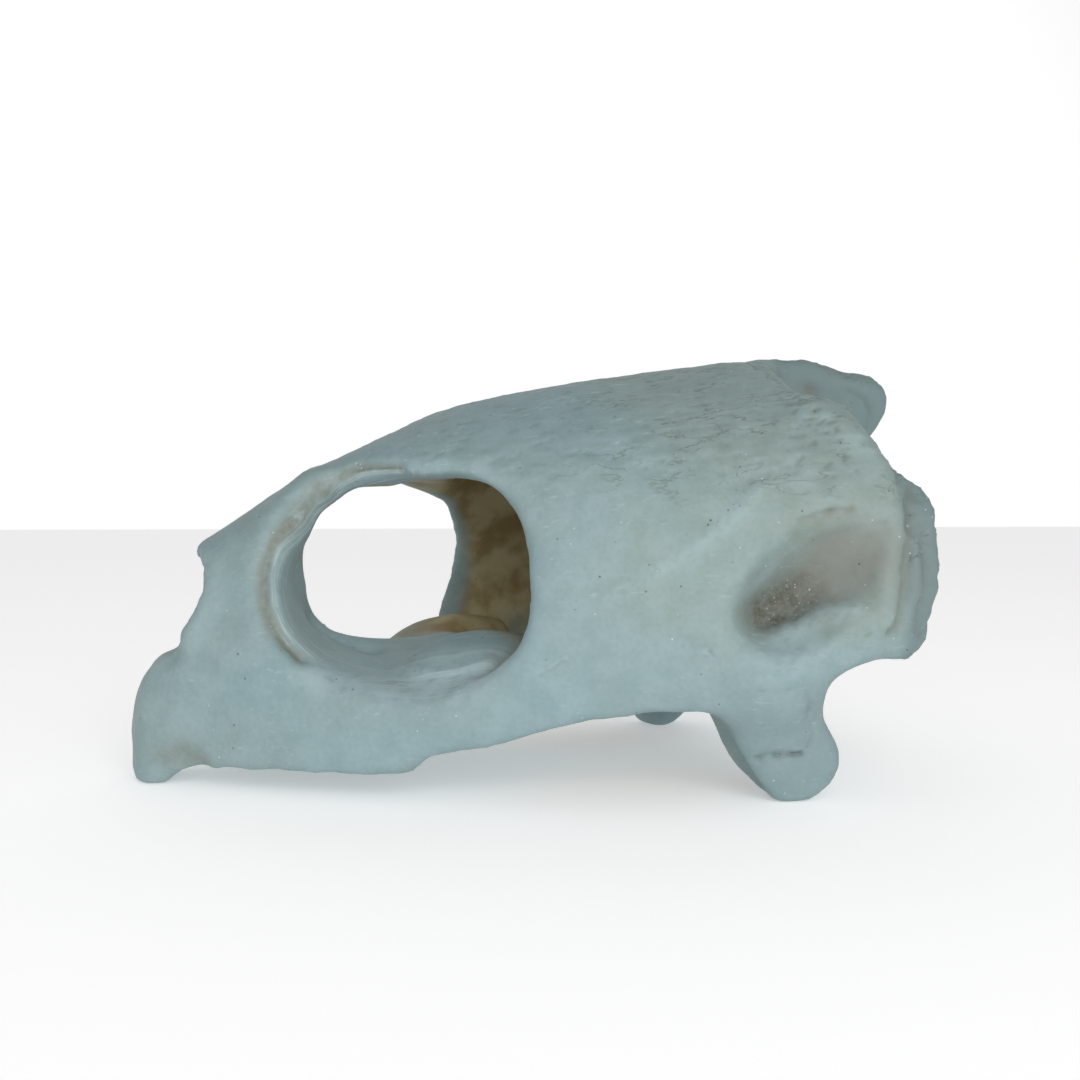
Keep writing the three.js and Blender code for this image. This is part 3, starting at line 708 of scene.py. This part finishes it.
# Painted shade where the skull turns away from the light.
colour = lay(PAINTED_SHADE_BONE, read("painted_shade"), colour)
colour = lay(STREAK_GREY, scaled(scaled(ease(fibres, 0.4, 0.75), 0.15), roof), colour)
colour = lay(GRIME, scaled(wrinkles, 0.65), colour)
colour = lay(GRIME, scaled(read("dirt"), 0.6), colour)
colour = lay(SPECK_WHITE, scaled(rings, 0.45), colour)
colour = lay(SPECK_WHITE, scaled(scratches, 0.18), colour)
colour = lay(PINK_STAIN, scaled(read("pink"), 0.7), colour)
# Pale where the bone is rubbed or broken, and painted light on the sockets' floors.
colour = lay(PALE_BONE, scaled(read("pale"), ease(cloud(2, 4), 0.3, 0.6)), colour)
ochre_and_shade_colour = lay(UMBER_BONE, ease(cloud(7, 4), 0.35, 0.65), light_values(OCHRE_BONE))
# Ochre stain, with painted shade, in the closed hollows.
colour = blend(read("ochre_stain_and_shade"), colour, ochre_and_shade_colour)
# Brown stains in the creases, and painted shade on the far socket's floor.
colour = lay(BROWN_STAIN_AND_SHADE, scaled(read("brown"), ease(cloud(1.5, 4), 0.2, 0.6, 0.4)), colour)
dark = scaled(read("dark"), ease(cloud(3, 5), 0.35, 0.6, 0.65))
colour = lay(DARK_STAIN, scaled(dark, ease(cloud(0.8, 5), 0.2, 0.7, 0.55)), colour)
crumbs = scaled(specks(0.9, 0.2), ease(dark, 0.3, 0.6))
colour = lay(PALE_BONE, scaled(crumbs, 0.7), colour)
holes = scaled(specks(2.8, 0.24), ease(cloud(12, 2), 0.45, 0.6))
holes = measure("MAXIMUM", holes, scaled(specks(1, 0.26), read("pit_row")))
colour = lay(PIT_BROWN, scaled(holes, 0.8), colour)
chalk = scaled(specks(2.4, 0.2), ease(cloud(16, 2), 0.45, 0.6))
colour = lay(SPECK_WHITE, scaled(chalk, 0.7), colour)
links.new(colour, shader.inputs["Base Color"])
height = measure("ADD", scaled(grain, 0.4), scaled(fibres, roof))
height = measure("SUBTRACT", height, scaled(measure("ADD", holes, wrinkles), 1.5))
bump = nodes.new("ShaderNodeBump")
bump.inputs["Strength"].default_value = BUMP_STRENGTH
bump.inputs["Distance"].default_value = BUMP_DEPTH
links.new(height, bump.inputs["Height"])
links.new(bump.outputs["Normal"], shader.inputs["Normal"])
skull.data.materials.append(dry_bone)
skull.vertex_groups.clear()
skull.select_set(True)
bpy.ops.object.shade_smooth()
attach(skull, "root")
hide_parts(*frame["nodes"])

# The floor: a plain pale board, matt and lit a little from within as a light table is, which the
# beak and the two jaw joints rest on.
FLOOR_SIZE = 6
FLOOR_WHITE = (0.93, 0.93, 0.93, 1)
FLOOR_ROUGHNESS = 0.9
FLOOR_GLOW = 0.3
bpy.ops.mesh.primitive_plane_add(size=FLOOR_SIZE)
floor = bpy.context.object
floor.name = "floor"
board = bpy.data.materials.new("pale_board")
board.use_nodes = True
board_shader = board.node_tree.nodes["Principled BSDF"]
board_shader.inputs["Base Color"].default_value = FLOOR_WHITE
board_shader.inputs["Roughness"].default_value = FLOOR_ROUGHNESS
board_shader.inputs["Emission Color"].default_value = (1, 1, 1, 1)
board_shader.inputs["Emission Strength"].default_value = FLOOR_GLOW
floor.data.materials.append(board)

# The light: a room with pale walls before and behind the skull and a dimmer ceiling and sides,
# and one large soft panel beside the camera that brightens the side turned to it.
WALL_LIGHT = 1.0
SIDE_LIGHT = 0.4
WALL_START = 0.45
WALL_FULL = 0.8
PANEL_PLACE = (0.02, -0.78, 0.3)
PANEL_AIM = Vector((0, 0, 0.044))
PANEL_SIZE = 0.5
PANEL_WATTS = 2.9
room = bpy.data.worlds.new("room")
bpy.context.scene.world = room
room.use_nodes = True
sky = room.node_tree.nodes
sky_links = room.node_tree.links
directions = sky.new("ShaderNodeSeparateXYZ")
sky_links.new(sky.new("ShaderNodeTexCoord").outputs["Generated"], directions.inputs["Vector"])
before_or_behind = sky.new("ShaderNodeMath")
before_or_behind.operation = "ABSOLUTE"
sky_links.new(directions.outputs["Y"], before_or_behind.inputs[0])
falloff = sky.new("ShaderNodeMapRange")
falloff.inputs["From Min"].default_value = WALL_START
falloff.inputs["From Max"].default_value = WALL_FULL
falloff.inputs["To Min"].default_value = SIDE_LIGHT
falloff.inputs["To Max"].default_value = WALL_LIGHT
sky_links.new(before_or_behind.outputs["Value"], falloff.inputs["Value"])
sky_links.new(falloff.outputs["Result"], sky["Background"].inputs["Strength"])
sky["Background"].inputs["Color"].default_value = (1, 1, 1, 1)
bpy.ops.object.light_add(type="AREA", location=PANEL_PLACE)
panel = bpy.context.object
panel.name = "soft_panel"
panel.data.size = PANEL_SIZE
panel.data.energy = PANEL_WATTS
panel.rotation_euler = (PANEL_AIM - panel.location).to_track_quat("-Z", "Y").to_euler()
bpy.context.scene.view_settings.view_transform = "Standard"

# The camera: almost level with the skull, a quarter of a metre away and a little ahead of its
# left side, as if held by hand close to it.
AIM = Vector((2.3, 0, 44)) * MM
DISTANCE = 250 * MM
AZIMUTH = math.radians(-11.5)
ELEVATION = math.radians(1.4)
LENS = 42.17
NEAREST = 10 * MM
away = Vector((
    math.sin(AZIMUTH) * math.cos(ELEVATION),
    -math.cos(AZIMUTH) * math.cos(ELEVATION),
    math.sin(ELEVATION),
))
bpy.ops.object.camera_add(location=AIM + away * DISTANCE)
camera = bpy.context.object
camera.rotation_euler = (-away).to_track_quat("-Z", "Y").to_euler()
camera.data.lens = LENS
camera.data.clip_start = NEAREST
bpy.context.scene.camera = camera
